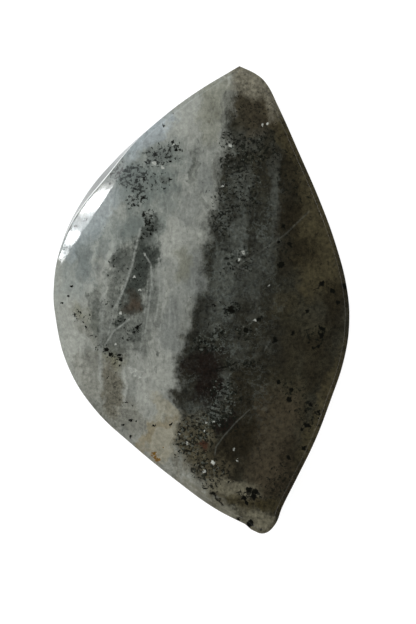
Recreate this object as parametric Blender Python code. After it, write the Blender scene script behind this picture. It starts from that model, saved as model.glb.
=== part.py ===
"""A polished freeform labradorite cabochon: one piece of stone with a flat sawn back, a leaning girdle,
a ground bevel that widens into one flat facet, and a low dome. Metres, +Z up, origin at the middle of the back."""

from math import exp, radians, tan

import bmesh
import bpy
from mathutils import Vector, noise

MM = 0.001
UP = Vector((0.0, 0.0, 1.0))

# Driving sizes, as a jeweller's gauge would read them.
LENGTH = 48.0 * MM
WIDTH = 30.5 * MM
HEIGHT = 6.0 * MM

# The side: a small chamfer round the back, a girdle that leans in, and the shoulder where the dome starts.
BACK_CHAMFER = 0.30 * MM
SHOULDER_HEIGHT = 3.70 * MM
GIRDLE_LEAN = 0.10 * MM

# The girdle was ground back further by this much round this place, below the upper half of the facet.
EXTRA_LEAN = 0.50 * MM
EXTRA_LEAN_PLACE = Vector((-10.50, 12.70, 0.0)) * MM
EXTRA_LEAN_REACH = 4.00 * MM

# The narrow bevel that runs all the way round, and the slope at which it was ground.
BEVEL_WIDTH = 0.45 * MM
BEVEL_SLOPE = radians(36.0)

# The flat facet on the upper left: its inner edge lies on the straight line through these two places.
FACET_TOP = Vector((-7.60, 13.70, 0.0)) * MM
FACET_FOOT = Vector((-14.30, 3.50, 0.0)) * MM

# The dome is highest over this place, and falls away by this power of the distance from it.
CROWN = Vector((1.2, 0.2, 0.0)) * MM
DOME_POWER = 2.2
DOME_RINGS = 12
SMALLEST_RING = 0.06
# Its rings grow rounder as they shrink, and its height is evened out at the end, by so many rounds of smoothing.
RING_SMOOTHINGS = 8
DOME_SMOOTHINGS = 12

# The lapidary's wheel leaves the polished top very slightly wavy.
WAVE_DEPTH = 0.06 * MM
WAVE_LENGTH = 8.0 * MM

# The outline from above, clockwise from the top tip, in millimetres from the middle of the stone.
# The curve turns sharply at a corner, and runs smoothly through the other places.
CORNER, SMOOTH = "VECTOR", "AUTO"
CURVE_STEPS = 4
OUTLINE = (
    (3.90, 24.00, CORNER),
    (5.75, 23.10, SMOOTH),
    (6.65, 22.30, SMOOTH),
    (7.90, 19.95, SMOOTH),
    (10.10, 15.05, SMOOTH),
    (12.35, 9.85, SMOOTH),
    (13.90, 5.55, SMOOTH),
    (15.00, 1.20, SMOOTH),
    (15.25, -2.20, SMOOTH),
    (14.75, -5.95, SMOOTH),
    (13.20, -10.65, SMOOTH),
    (11.80, -14.30, SMOOTH),
    (9.70, -18.60, SMOOTH),
    (8.35, -21.30, SMOOTH),
    (7.60, -23.10, SMOOTH),
    (6.40, -24.00, SMOOTH),
    (5.00, -23.55, CORNER),
    (4.50, -23.05, CORNER),
    (1.40, -21.45, SMOOTH),
    (-2.55, -18.60, SMOOTH),
    (-7.15, -14.85, SMOOTH),
    (-11.00, -11.20, SMOOTH),
    (-13.75, -6.75, SMOOTH),
    (-15.00, -1.75, SMOOTH),
    (-15.20, 1.00, SMOOTH),
    (-14.55, 5.20, SMOOTH),
    (-12.40, 10.00, SMOOTH),
    (-9.00, 14.30, SMOOTH),
    (-4.55, 18.30, SMOOTH),
    (-0.80, 21.15, SMOOTH),
)


def clear_scene():
    for obj in list(bpy.data.objects):
        bpy.data.objects.remove(obj, do_unlink=True)


def stone_material():
    material = bpy.data.materials.new("labradorite")
    material.use_nodes = True
    shader = material.node_tree.nodes["Principled BSDF"]
    shader.inputs["Base Color"].default_value = (0.12, 0.13, 0.12, 1.0)
    shader.inputs["Roughness"].default_value = 0.1
    shader.inputs["Metallic"].default_value = 0.0
    return material


def curve_through_knots():
    """A closed Bezier curve through the outline's knots, lying flat."""
    curve = bpy.data.curves.new("outline", "CURVE")
    curve.dimensions = "2D"
    curve.fill_mode = "NONE"
    curve.resolution_u = CURVE_STEPS
    spline = curve.splines.new("BEZIER")
    spline.bezier_points.add(len(OUTLINE) - 1)
    spline.use_cyclic_u = True
    for knot, (x, y, turn) in zip(spline.bezier_points, OUTLINE):
        knot.co = (x * MM, y * MM, 0.0)
        knot.handle_left_type = turn
        knot.handle_right_type = turn
    return curve


def outline_ring():
    """The widest outline as a clockwise ring of places, stretched to the exact length and width."""
    guide = bpy.data.objects.new("outline", curve_through_knots())
    bpy.context.collection.objects.link(guide)
    evaluated = guide.evaluated_get(bpy.context.evaluated_depsgraph_get())
    mesh = bpy.data.meshes.new_from_object(evaluated)
    places = [vert.co.copy() for vert in mesh.vertices]
    bpy.data.meshes.remove(mesh)
    bpy.data.objects.remove(guide, do_unlink=True)
    xs = [place.x for place in places]
    ys = [place.y for place in places]
    middle = Vector((min(xs) + max(xs), min(ys) + max(ys), 0.0)) / 2
    stretch = Vector((WIDTH / (max(xs) - min(xs)), LENGTH / (max(ys) - min(ys)), 0.0))
    return [(place - middle) * stretch for place in places]


def inward_directions(ring):
    """At each place on a clockwise ring, the level direction that leads into the stone."""
    directions = []
    for index, place in enumerate(ring):
        arriving = (place - ring[index - 1]).normalized()
        leaving = (ring[(index + 1) % len(ring)] - place).normalized()
        along = (arriving + leaving).normalized()
        directions.append(Vector((along.y, -along.x, 0.0)))
    return directions


def girdle_lean(place):
    """How far the girdle leans in above a place on the outline."""
    nearness = exp(-(((place - EXTRA_LEAN_PLACE).length / EXTRA_LEAN_REACH) ** 2))
    return GIRDLE_LEAN + EXTRA_LEAN * nearness


def bevel_across(rim, inward):
    """The level step from a place on the rim to the bevel's inner edge.

    It is even all round, but where the facet's straight edge lies deeper, it reaches that edge squarely.
    """
    along_facet = (FACET_TOP - FACET_FOOT).normalized()
    into_stone = Vector((along_facet.y, -along_facet.x, 0.0))
    depth = (FACET_TOP - rim).dot(into_stone)
    facet_share = min(max(depth / BEVEL_WIDTH, 0.0), 1.0)
    direction = inward.lerp(into_stone, facet_share).normalized()
    return direction * max(BEVEL_WIDTH, depth)


def side_rings():
    """The rings of places from the back's edge up to the shoulder."""
    back, foot, girdle, shoulder = [], [], [], []
    outline = outline_ring()
    for place, inward in zip(outline, inward_directions(outline)):
        back.append(place + inward * BACK_CHAMFER)
        foot.append(place + UP * BACK_CHAMFER)
        rim = place + inward * girdle_lean(place)
        across = bevel_across(rim, inward)
        girdle.append(rim + UP * (SHOULDER_HEIGHT - across.length * tan(BEVEL_SLOPE)))
        shoulder.append(rim + across + UP * SHOULDER_HEIGHT)
    return back, foot, girdle, shoulder


def rounder(ring):
    """The same ring with its corners eased, each place drawn halfway to the middle of its neighbours."""
    for _ in range(RING_SMOOTHINGS):
        before = ring[-1:] + ring[:-1]
        after = ring[1:] + ring[:1]
        ring = [place.lerp((a + b) / 2, 0.5) for a, place, b in zip(before, ring, after)]
    return ring


def dome_ring(ring, share):
    """The ring drawn in towards the crown to this share of its size, and lifted onto the dome."""
    rise = (HEIGHT - SHOULDER_HEIGHT) * (1.0 - share**DOME_POWER)
    lifted = []
    for place in ring:
        level = CROWN.lerp(place - UP * SHOULDER_HEIGHT, share)
        wave = WAVE_DEPTH * noise.noise(level / WAVE_LENGTH) * (1.0 - share)
        lifted.append(level + UP * (SHOULDER_HEIGHT + rise + wave))
    return lifted


def raise_cap(bm, cap, ring):
    """Extrudes the face that closes the top, and puts the corners of the new one on the ring."""
    cap = bmesh.ops.extrude_discrete_faces(bm, faces=[cap])["faces"][0]
    for vert, place in zip(cap.verts, ring):
        vert.co = place
    return cap


def ease_dome(bm, dome_verts):
    """Evens out the dome's height, and brings its top back to the stone's full height."""
    for _ in range(DOME_SMOOTHINGS):
        bmesh.ops.smooth_vert(bm, verts=dome_verts, factor=0.5, use_axis_z=True)
    top = max(vert.co.z for vert in dome_verts)
    stretch = (HEIGHT - SHOULDER_HEIGHT) / (top - SHOULDER_HEIGHT)
    for vert in dome_verts:
        vert.co.z = SHOULDER_HEIGHT + (vert.co.z - SHOULDER_HEIGHT) * stretch


def stone_mesh():
    """The stone's surface, raised ring by ring from the flat back to the crown."""
    back, foot, girdle, shoulder = side_rings()
    bm = bmesh.new()
    base = bm.faces.new([bm.verts.new(place) for place in back])
    raised = bmesh.ops.extrude_face_region(bm, geom=[base], use_keep_orig=True)
    cap = next(item for item in raised["geom"] if isinstance(item, bmesh.types.BMFace))
    for vert, place in zip(cap.verts, foot):
        vert.co = place
    cap = raise_cap(bm, cap, girdle)
    cap = raise_cap(bm, cap, shoulder)
    dome_verts = []
    ring = shoulder
    for step in range(1, DOME_RINGS + 1):
        ring = rounder(ring)
        share = 1.0 - (1.0 - SMALLEST_RING) * step / DOME_RINGS
        cap = raise_cap(bm, cap, dome_ring(ring, share))
        dome_verts += cap.verts
    dome_verts += bmesh.ops.poke(bm, faces=[cap])["verts"]
    ease_dome(bm, dome_verts)
    bmesh.ops.recalc_face_normals(bm, faces=bm.faces)
    mesh = bpy.data.meshes.new("cabochon")
    bm.to_mesh(mesh)
    bm.free()
    return mesh


def main():
    clear_scene()
    collection = bpy.data.collections.new("labradorite_cabochon")
    bpy.context.scene.collection.children.link(collection)
    mesh = stone_mesh()
    mesh.materials.append(stone_material())
    mesh.shade_smooth()
    mesh.set_sharp_from_angle(angle=radians(20.0))
    collection.objects.link(bpy.data.objects.new("cabochon", mesh))


if __name__ == "__main__":
    main()
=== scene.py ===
# %% [markdown]
# A polished labradorite cabochon, photographed from straight above on a white ground. The stone is one
# piece: a flat sawn back, a girdle round the side, a narrow ground bevel that widens into one flat facet
# on the upper left, and a low dome. Its look is nearly all in the material, so most of this lesson is
# about building a mineral's inside from soft patches, veins, specks and grain that live in the stone's
# own space.

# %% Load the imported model
import math

import bmesh
import bpy
from mathutils import Matrix, Vector, noise
from mathutils.bvhtree import BVHTree


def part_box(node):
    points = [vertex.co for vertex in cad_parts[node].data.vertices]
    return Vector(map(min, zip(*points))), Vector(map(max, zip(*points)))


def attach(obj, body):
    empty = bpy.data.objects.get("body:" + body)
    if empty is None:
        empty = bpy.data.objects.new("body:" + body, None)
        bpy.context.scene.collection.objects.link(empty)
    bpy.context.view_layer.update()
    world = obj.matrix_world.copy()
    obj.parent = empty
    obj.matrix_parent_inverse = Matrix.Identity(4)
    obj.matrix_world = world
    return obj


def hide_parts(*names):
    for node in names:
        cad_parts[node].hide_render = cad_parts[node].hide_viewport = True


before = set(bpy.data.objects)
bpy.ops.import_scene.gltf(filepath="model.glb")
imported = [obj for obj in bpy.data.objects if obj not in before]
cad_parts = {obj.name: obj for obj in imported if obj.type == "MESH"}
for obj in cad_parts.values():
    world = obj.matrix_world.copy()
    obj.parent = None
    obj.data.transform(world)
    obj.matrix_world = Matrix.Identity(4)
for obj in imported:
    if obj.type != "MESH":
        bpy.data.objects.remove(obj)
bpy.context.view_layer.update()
STONE_NODE = "cabochon"
stone_low, stone_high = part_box(STONE_NODE)
MM = 0.001
stone_size = [round((high - low) / MM, 2) for low, high in zip(stone_low, stone_high)]
print("the stone measures, in mm,", stone_size)

# %% [markdown]
# The floor is a plain white sheet under the stone. It glows faintly, like opal glass over a lamp, because
# that is how a studio keeps the ground white right up to a dark stone's edge. It is a plane much larger
# than the view, a hair below the stone's back so that the two faces never coincide.

# %% Floor
FLOOR_SIZE = 4.0
FLOOR_GAP = 0.02 * MM
PAPER_WHITENESS = 0.3
PAPER_GLOW = 0.82
bpy.ops.object.select_all(action="DESELECT")
bpy.ops.mesh.primitive_plane_add(size=FLOOR_SIZE, location=(0.0, 0.0, stone_low.z - FLOOR_GAP))
floor = bpy.context.object
floor.name = "floor"
paper = bpy.data.materials.new("white_paper")
paper.use_nodes = True
paper_shader = paper.node_tree.nodes["Principled BSDF"]
paper_shader.inputs["Base Color"].default_value = (PAPER_WHITENESS, PAPER_WHITENESS, PAPER_WHITENESS, 1.0)
paper_shader.inputs["Roughness"].default_value = 0.9
paper_shader.inputs["Specular IOR Level"].default_value = 0.1
paper_shader.inputs["Emission Color"].default_value = (1.0, 1.0, 1.0, 1.0)
paper_shader.inputs["Emission Strength"].default_value = PAPER_GLOW
floor.data.materials.append(paper)
print("floor at", round(floor.location.z / MM, 3), "mm")

# %% [markdown]
# The photograph looks straight down, with the stone's long axis upright in the frame. A long lens from 40
# cm away keeps the perspective as flat as a product shot's. The frame's height at the stone sets the
# focal length.

# %% Camera
CAMERA_DISTANCE = 400.0 * MM
FRAME_HEIGHT = 64.27 * MM
FRAME_CENTRE = Vector((0.695, -1.251)) * MM
SENSOR = 36.0
OUTLINE_HEIGHT = 0.3 * MM
camera_height = stone_low.z + OUTLINE_HEIGHT + CAMERA_DISTANCE
bpy.ops.object.camera_add(location=(FRAME_CENTRE.x, FRAME_CENTRE.y, camera_height), rotation=(0, 0, 0))
camera = bpy.context.object
camera.name = "camera"
camera.data.sensor_width = SENSOR
camera.data.lens = SENSOR * CAMERA_DISTANCE / FRAME_HEIGHT
camera.data.clip_start = 0.01
camera.data.clip_end = 10.0
bpy.context.scene.camera = camera
bpy.context.scene.view_settings.view_transform = "Standard"
print("lens", round(camera.data.lens, 1), "mm")

# %% [markdown]
# The light is a ring of eight soft boxes. They stand low enough that the dome does not mirror them back
# at the camera, and high enough that the bevel does not either, so the stone's inside shows without a
# veil. The ones on the left are a touch stronger and cooler, as from a window.

# %% Soft boxes
BOXES = 8
BOX_ELEVATION = math.radians(33.0)
BOX_DISTANCE = 1.0
BOX_SIZE = (0.75, 0.36)
WINDOW_AZIMUTH = math.radians(150.0)
MEAN_WATTS = 2.75
WATTS_SWING = 0.6
TINT_SWING = 0.03


def rectangle_light(name, place, size, watts, tint, turn):
    """A rectangular area light that the camera does not see."""
    bpy.ops.object.light_add(type="AREA", location=place)
    light = bpy.context.object
    light.name = name
    light.rotation_mode = "QUATERNION"
    light.rotation_quaternion = turn
    light.data.shape = "RECTANGLE"
    light.data.size, light.data.size_y = size
    light.data.energy = watts
    light.data.color = tint
    light.visible_camera = False
    return light


def aim_at(azimuth, elevation):
    """The direction with this compass turn and this height over the horizon, both in radians."""
    level = math.cos(elevation)
    return Vector((math.cos(azimuth) * level, math.sin(azimuth) * level, math.sin(elevation)))


for number in range(BOXES):
    azimuth = math.radians(360.0 / BOXES * number)
    aim = aim_at(azimuth, BOX_ELEVATION)
    towards_window = math.cos(azimuth - WINDOW_AZIMUTH)
    tint = (1.0 - TINT_SWING * towards_window, 1.0, 1.0 + TINT_SWING * towards_window)
    rectangle_light(
        f"soft_box_{number}", aim * BOX_DISTANCE, BOX_SIZE, MEAN_WATTS + WATTS_SWING * towards_window, tint,
        aim.to_track_quat("Z", "Y"),
    )
print("soft boxes:", BOXES)

# %% [markdown]
# The rest of the room is dark but for a glow on the window's side of the sky. The upper left rim of the
# dome, which leans that way, mirrors it as a soft bluish haze. The sky's colour depends only on the
# direction looked at: the nearer it is to the glow's middle, the brighter.

# %% Sky
GLOW_AZIMUTH, GLOW_ELEVATION = math.radians(128.0), math.radians(39.0)
GLOW_COLOUR = (0.87, 0.97, 0.98, 1.0)
GLOW_STRENGTH = 3.5
GLOW_INNER, GLOW_OUTER = math.radians(9.0), math.radians(23.5)
DARK_SKY = 0.05
world = bpy.data.worlds.new("dark_room")
world.use_nodes = True
sky_nodes = world.node_tree.nodes
sky = sky_nodes["Background"]
sky.inputs["Color"].default_value = GLOW_COLOUR
direction = sky_nodes.new("ShaderNodeTexCoord")
nearness = sky_nodes.new("ShaderNodeVectorMath")
nearness.operation = "DOT_PRODUCT"
nearness.inputs[1].default_value = aim_at(GLOW_AZIMUTH, GLOW_ELEVATION)
falloff = sky_nodes.new("ShaderNodeMapRange")
falloff.interpolation_type = "SMOOTHSTEP"
falloff.inputs["From Min"].default_value = math.cos(GLOW_OUTER)
falloff.inputs["From Max"].default_value = math.cos(GLOW_INNER)
falloff.inputs["To Min"].default_value = DARK_SKY
falloff.inputs["To Max"].default_value = GLOW_STRENGTH
world.node_tree.links.new(direction.outputs["Generated"], nearness.inputs[0])
world.node_tree.links.new(nearness.outputs["Value"], falloff.inputs["Value"])
world.node_tree.links.new(falloff.outputs["Result"], sky.inputs["Strength"])
bpy.context.scene.world = world
print("the sky glows at azimuth", round(math.degrees(GLOW_AZIMUTH)))

# %% [markdown]
# The flat facet on the upper left is a small mirror, and shows the panes of a window. Each pane is a
# light placed by the law of reflection: the camera's ray to a place on the facet is mirrored there, and
# the light stands on the mirrored ray, turned and sized as the pane should look. Two dimmer ones are the
# sill and the wall beside it.

# %% Window panes
FACET_TOP = Vector((-7.6, 13.7, 3.7)) * MM
FACET_FOOT = Vector((-14.3, 3.5, 3.7)) * MM
GRINDING_SLOPE = math.radians(36.0)
PANE_DISTANCE = 150.0 * MM
PANE_TINT = (0.97, 0.99, 1.0)
facet_run = (FACET_TOP - FACET_FOOT).normalized()
facet_outward = Vector((-facet_run.y, facet_run.x, 0.0))
facet_normal = facet_outward * math.sin(GRINDING_SLOPE) + Vector((0.0, 0.0, math.cos(GRINDING_SLOPE)))


def pane_light(name, left, right, bottom, top, radiance):
    """A light whose mirror image in the facet fills this rectangle of the view, given in millimetres."""
    middle = Vector(((left + right) / 2, (bottom + top) / 2, 0.0)) * MM
    beyond_edge = (middle - FACET_TOP).dot(facet_outward)
    spot = Vector((middle.x, middle.y, FACET_TOP.z - beyond_edge * math.tan(GRINDING_SLOPE)))
    sight = spot - camera.location
    mirrored = sight.reflect(facet_normal).normalized()
    enlarged = (sight.length + PANE_DISTANCE) / sight.length * MM
    across = Vector((1.0, 0.0, 0.0)).reflect(facet_normal)
    across = (across - mirrored * across.dot(mirrored)).normalized()
    up = mirrored.cross(across)
    turn = Matrix((across, up, mirrored)).transposed().to_quaternion()
    width, height = (right - left) * enlarged, (top - bottom) * enlarged
    watts = radiance * math.pi * width * height
    place = spot + mirrored * PANE_DISTANCE
    return rectangle_light(name, place, (width, height), watts, PANE_TINT, turn)


pane_light("pane_high", -13.2, -8.6, 9.1, 11.1, 36.0)
pane_light("pane_middle", -14.6, -12.2, 5.8, 6.9, 40.0)
pane_light("pane_low", -15.6, -13.8, 4.1, 4.9, 34.0)
pane_light("sill", -14.4, -10.4, 6.9, 9.1, 6.0)
pane_light("wall", -10.6, -7.0, 11.1, 14.4, 2.6)
print("panes lit in the facet, whose normal is", [round(value, 3) for value in facet_normal])

# %% [markdown]
# The stone's outline is a freeform leaf: sharp at the top tip, rounded at the lower one, with a small
# step beside it. A lapidary draws it on a slab with a scribe. Here it is a Bezier circle whose points are
# set out on the scribed line, smooth but for three corners, and then turned into a ring of edges.

# %% Outline
CURVE_STEPS = 5
OUTLINE = (
    (3.9, 24.0), (5.75, 23.1), (6.65, 22.3), (7.9, 19.95), (10.1, 15.05),
    (12.35, 9.85), (13.9, 5.55), (15.0, 1.2), (15.25, -2.2), (14.75, -5.95),
    (13.2, -10.65), (11.8, -14.3), (9.7, -18.6), (8.35, -21.3), (7.6, -23.1),
    (6.4, -24.0), (5.0, -23.55), (4.5, -23.05), (1.4, -21.45), (-2.55, -18.6),
    (-7.15, -14.85), (-11.0, -11.2), (-13.75, -6.75), (-15.0, -1.75), (-15.2, 1.0),
    (-14.55, 5.2), (-12.4, 10.0), (-9.0, 14.3), (-4.55, 18.3), (-0.8, 21.15),
)
CORNERS = ((3.9, 24.0), (5.0, -23.55), (4.5, -23.05))
bpy.ops.object.select_all(action="DESELECT")
bpy.ops.curve.primitive_bezier_circle_add(radius=0.02)
stone = bpy.context.object
stone.name = "polished_stone"
stone.data.dimensions = "2D"
stone.data.fill_mode = "NONE"
stone.data.resolution_u = CURVE_STEPS
line = stone.data.splines[0]
line.bezier_points.add(len(OUTLINE) - len(line.bezier_points))
for knot, (x, y) in zip(line.bezier_points, OUTLINE):
    turn = "VECTOR" if (x, y) in CORNERS else "AUTO"
    knot.handle_left_type = turn
    knot.handle_right_type = turn
    knot.co = (x * MM, y * MM, 0.0)
bpy.ops.object.convert(target="MESH")
outline = [vert.co.copy() for vert in stone.data.vertices]
print("outline ring of", len(outline), "places")

# %% [markdown]
# The side of a cabochon is ground in steps: a chamfer that keeps the back's edge from chipping, the
# girdle, and a bevel. The bevel has an even width, but on the upper left the stone was held flat against
# the wheel, which cut a plane whose inner edge is a straight line. Each step is a ring of places worked
# out from the ring below it.

# %% Rings up the side
UP = Vector((0.0, 0.0, 1.0))
BACK_CHAMFER = 0.3 * MM
SHOULDER_HEIGHT = 3.7 * MM
GIRDLE_LEAN = 0.1 * MM
EXTRA_LEAN = 0.5 * MM
EXTRA_LEAN_PLACE = Vector((-10.5, 12.7, 0.0)) * MM
EXTRA_LEAN_REACH = 4.0 * MM
BEVEL_WIDTH = 0.45 * MM


def inward(ring, index):
    """The level direction into the stone at one place of a clockwise ring."""
    arriving = (ring[index] - ring[index - 1]).normalized()
    leaving = (ring[(index + 1) % len(ring)] - ring[index]).normalized()
    along = (arriving + leaving).normalized()
    return Vector((along.y, -along.x, 0.0))


def bevel_step(rim, direction):
    """The level step across the bevel, or across the facet where its straight edge lies deeper."""
    depth = (FACET_TOP - rim).dot(-facet_outward)
    facet_share = min(max(depth / BEVEL_WIDTH, 0.0), 1.0)
    return direction.lerp(-facet_outward, facet_share).normalized() * max(BEVEL_WIDTH, depth)


back, foot, girdle, shoulder = [], [], [], []
for index, place in enumerate(outline):
    direction = inward(outline, index)
    nearness = math.exp(-(((place - EXTRA_LEAN_PLACE).length / EXTRA_LEAN_REACH) ** 2))
    rim = place + direction * (GIRDLE_LEAN + EXTRA_LEAN * nearness)
    across = bevel_step(rim, direction)
    back.append(place + direction * BACK_CHAMFER)
    foot.append(place + UP * BACK_CHAMFER)
    girdle.append(rim + UP * (SHOULDER_HEIGHT - across.length * math.tan(GRINDING_SLOPE)))
    shoulder.append(rim + across + UP * SHOULDER_HEIGHT)
print("facet drops to", round(min(place.z for place in girdle) / MM, 2), "mm")

# %% [markdown]
# The body is raised like a stack of rings. The back is filled, and its face is extruded again and again;
# after each extrude the new face's corners are dragged to the next ring. A lathe profile could not follow
# this leaf shape, and a carved block would leave the polished top uneven, while rings follow the outline
# as a lapidary's wheel does.

# %% Raise the body
def raise_face(ring):
    """In edit mode, extrudes the selected face and drags its corners to the ring's places."""
    bpy.ops.mesh.extrude_region_move()
    bm = bmesh.from_edit_mesh(stone.data)
    face = next(face for face in bm.faces if face.select)
    for vert, place in zip(face.verts, ring):
        vert.co = place
    bmesh.update_edit_mesh(stone.data)


def between(ring, next_ring, share):
    return [a.lerp(b, share) for a, b in zip(ring, next_ring)]


NEAR_EDGE = 0.12
bpy.ops.object.mode_set(mode="EDIT")
bpy.ops.mesh.select_all(action="SELECT")
bpy.ops.mesh.edge_face_add()
bm = bmesh.from_edit_mesh(stone.data)
base = next(iter(bm.faces))
for vert, place in zip(base.verts, back):
    vert.co = place
bmesh.update_edit_mesh(stone.data)
print("base has", len(base.verts), "corners")
for ring in (
    foot, between(foot, girdle, 0.5), girdle, between(girdle, shoulder, NEAR_EDGE),
    between(girdle, shoulder, 1.0 - NEAR_EDGE), shoulder,
):
    raise_face(ring)

# %% [markdown]
# The dome rises from the shoulder to a crown near the middle. Its rings shrink towards the crown and grow
# rounder on the way, so the corners of the outline fade out. A few rounds of smoothing along the height
# alone take out the last ridge without moving the rings sideways.

# %% Raise the dome
CROWN = Vector((1.2, 0.2, 0.0)) * MM
DOME_POWER = 2.2
DOME_RINGS = 14
SMALLEST_RING = 0.05
RING_SMOOTHINGS = 8
DOME_SMOOTHINGS = 14
JUST_ABOVE = 0.001 * MM
WAVE_DEPTH = 0.06 * MM
WAVE_LENGTH = 8.0 * MM


def rounder(ring):
    for _ in range(RING_SMOOTHINGS):
        before, after = ring[-1:] + ring[:-1], ring[1:] + ring[:1]
        ring = [place.lerp((a + b) / 2, 0.5) for a, place, b in zip(before, ring, after)]
    return ring


ring = shoulder
for step in range(1, DOME_RINGS + 1):
    ring = rounder(ring)
    share = 1.0 - (1.0 - SMALLEST_RING) * step / DOME_RINGS
    rise = (stone_high.z - SHOULDER_HEIGHT) * (1.0 - share**DOME_POWER)
    level = [CROWN.lerp(place - UP * SHOULDER_HEIGHT, share) for place in ring]
    waves = [WAVE_DEPTH * noise.noise(place / WAVE_LENGTH) * (1.0 - share) for place in level]
    raise_face([place + UP * (SHOULDER_HEIGHT + rise + wave) for place, wave in zip(level, waves)])
bpy.ops.mesh.poke()
bpy.ops.mesh.select_all(action="DESELECT")
bm = bmesh.from_edit_mesh(stone.data)
for vert in bm.verts:
    vert.select = vert.co.z > SHOULDER_HEIGHT + JUST_ABOVE
bm.select_flush(True)
bpy.ops.mesh.vertices_smooth(factor=0.5, repeat=DOME_SMOOTHINGS, xaxis=False, yaxis=False, zaxis=True)
bpy.ops.mesh.select_all(action="SELECT")
bpy.ops.mesh.normals_make_consistent(inside=False)
bpy.ops.object.mode_set(mode="OBJECT")
dome_top = max(vert.co.z for vert in stone.data.vertices)
stretch = (stone_high.z - SHOULDER_HEIGHT) / (dome_top - SHOULDER_HEIGHT)
for vert in stone.data.vertices:
    if vert.co.z > SHOULDER_HEIGHT:
        vert.co.z = SHOULDER_HEIGHT + (vert.co.z - SHOULDER_HEIGHT) * stretch
print("dome has", len(stone.data.polygons), "faces")

# %% [markdown]
# No ground stone has a perfectly sharp edge: the last polish rounds each one by a few hundredths of a
# millimetre. A bevel on every edge that turns enough makes that rounding, and gives the subdivision that
# follows something to hold on to. The subdivision then makes the dome a true curve, and what it pushes
# out by a thousandth is put back.

# %% Ease the edges and refine
ARRIS = 0.02 * MM
WIDEST_ARRIS = 0.24 * MM
WIDEST_ARRIS_DROP = 1.2 * MM
ARRIS_ANGLE = math.radians(15.0)
REFINE_LEVELS = 2


def apply_modifier(piece, kind, name, **settings):
    """Adds one modifier with these settings to the piece, and applies it."""
    modifier = piece.modifiers.new(name, kind)
    for key, value in settings.items():
        setattr(modifier, key, value)
    bpy.context.view_layer.objects.active = piece
    bpy.ops.object.modifier_apply(modifier=name)


bm = bmesh.new()
bm.from_mesh(stone.data)
weights = bm.edges.layers.float.new("bevel_weight_edge")
for edge in bm.edges:
    if edge.is_manifold and edge.calc_face_angle() > ARRIS_ANGLE:
        middle = (edge.verts[0].co + edge.verts[1].co) / 2
        drop = SHOULDER_HEIGHT - middle.z
        on_facet_rim = BACK_CHAMFER * 2 < middle.z and drop > BEVEL_WIDTH
        edge[weights] = min(drop / WIDEST_ARRIS_DROP, 1.0) if on_facet_rim else ARRIS / WIDEST_ARRIS
bm.to_mesh(stone.data)
bm.free()
apply_modifier(
    stone, "BEVEL", "arrises", width=WIDEST_ARRIS, segments=2, limit_method="WEIGHT", use_clamp_overlap=True,
)
apply_modifier(stone, "SUBSURF", "refine", levels=REFINE_LEVELS, render_levels=REFINE_LEVELS)
for vert in stone.data.vertices:
    vert.co = [min(max(place, low), high) for place, low, high in zip(vert.co, stone_low, stone_high)]
bpy.ops.object.shade_smooth()
apply_modifier(
    stone, "WEIGHTED_NORMAL", "flat_faces_stay_flat", mode="FACE_AREA", weight=50, keep_sharp=False,
)
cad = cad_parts[STONE_NODE]
cad_tree = BVHTree.FromPolygons([v.co for v in cad.data.vertices], [p.vertices for p in cad.data.polygons])
gap = max(cad_tree.find_nearest(vert.co)[3] for vert in list(stone.data.vertices)[::20])
print(len(stone.data.polygons), "faces, and at most", round(gap / MM, 3), "mm from the packed solid")

# %% [markdown]
# A shader is a sheet of wiring, and most of its wires are short sums. These helpers lay one node each on
# the sheet being wired and hand back its output, so that the mineral's recipe below can be read from top
# to bottom.

# %% Wiring helpers
def lay(kind, **settings):
    """Adds a node of this kind to the sheet being wired, and gives its settings."""
    node = sheet.nodes.new("ShaderNode" + kind)
    for key, value in settings.items():
        setattr(node, key, value)
    return node


def feed(socket, value):
    """Joins another node's output to this input, or writes a plain value in it."""
    if isinstance(value, bpy.types.NodeSocket):
        sheet.links.new(value, socket)
    else:
        socket.default_value = value


def calculate(operation, *values):
    node = lay("Math", operation=operation)
    for socket, value in zip(node.inputs, values):
        feed(socket, value)
    return node.outputs[0]


def times(first, second):
    return calculate("MULTIPLY", first, second)


def combine(operation, *values):
    """A sum on vectors. The length and the dot product come out as numbers."""
    node = lay("VectorMath", operation=operation)
    for socket, value in zip(node.inputs, values):
        feed(socket, value)
    return node.outputs["Value"] if operation in ("LENGTH", "DOT_PRODUCT") else node.outputs["Vector"]


def ramp(value, low, high, to_low=0.0, to_high=1.0):
    """A soft step between two values, without a clamp, which would cost the renderer a slot each time."""
    node = lay("MapRange", interpolation_type="SMOOTHSTEP", clamp=False)
    named = (("Value", value), ("From Min", low), ("From Max", high), ("To Min", to_low), ("To Max", to_high))
    for name, given in named:
        feed(node.inputs[name], given)
    return node.outputs["Result"]


def blend_colours(share, under, over, blend_type="MIX"):
    node = lay("Mix", data_type="RGBA", blend_type=blend_type)
    for name, value in (("Factor_Float", share), ("A_Color", under), ("B_Color", over)):
        feed(next(socket for socket in node.inputs if socket.identifier == name), value)
    return next(socket for socket in node.outputs if socket.identifier == "Result_Color")


def grain(place, scale, detail=3.0, roughness=0.5, output="Fac"):
    """Cloudy noise around 0.5, with this many lumps to the millimetre."""
    node = lay("TexNoise")
    for name, value in (("Vector", place), ("Scale", scale), ("Detail", detail), ("Roughness", roughness)):
        feed(node.inputs[name], value)
    return node.outputs[output]


def new_group(name, inputs, outputs):
    """An empty node group with these sockets, given as name and kind, and its two ends."""
    group = bpy.data.node_groups.new(name, "ShaderNodeTree")
    for direction, sockets in (("INPUT", inputs), ("OUTPUT", outputs)):
        for socket_name, kind in sockets:
            group.interface.new_socket(socket_name, in_out=direction, socket_type="NodeSocket" + kind)
    return group, group.nodes.new("NodeGroupInput").outputs, group.nodes.new("NodeGroupOutput").inputs


def place_group(group, **values):
    node = lay("Group", node_tree=group)
    for name, value in values.items():
        feed(node.inputs[name], value)
    return node.outputs[0]

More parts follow.
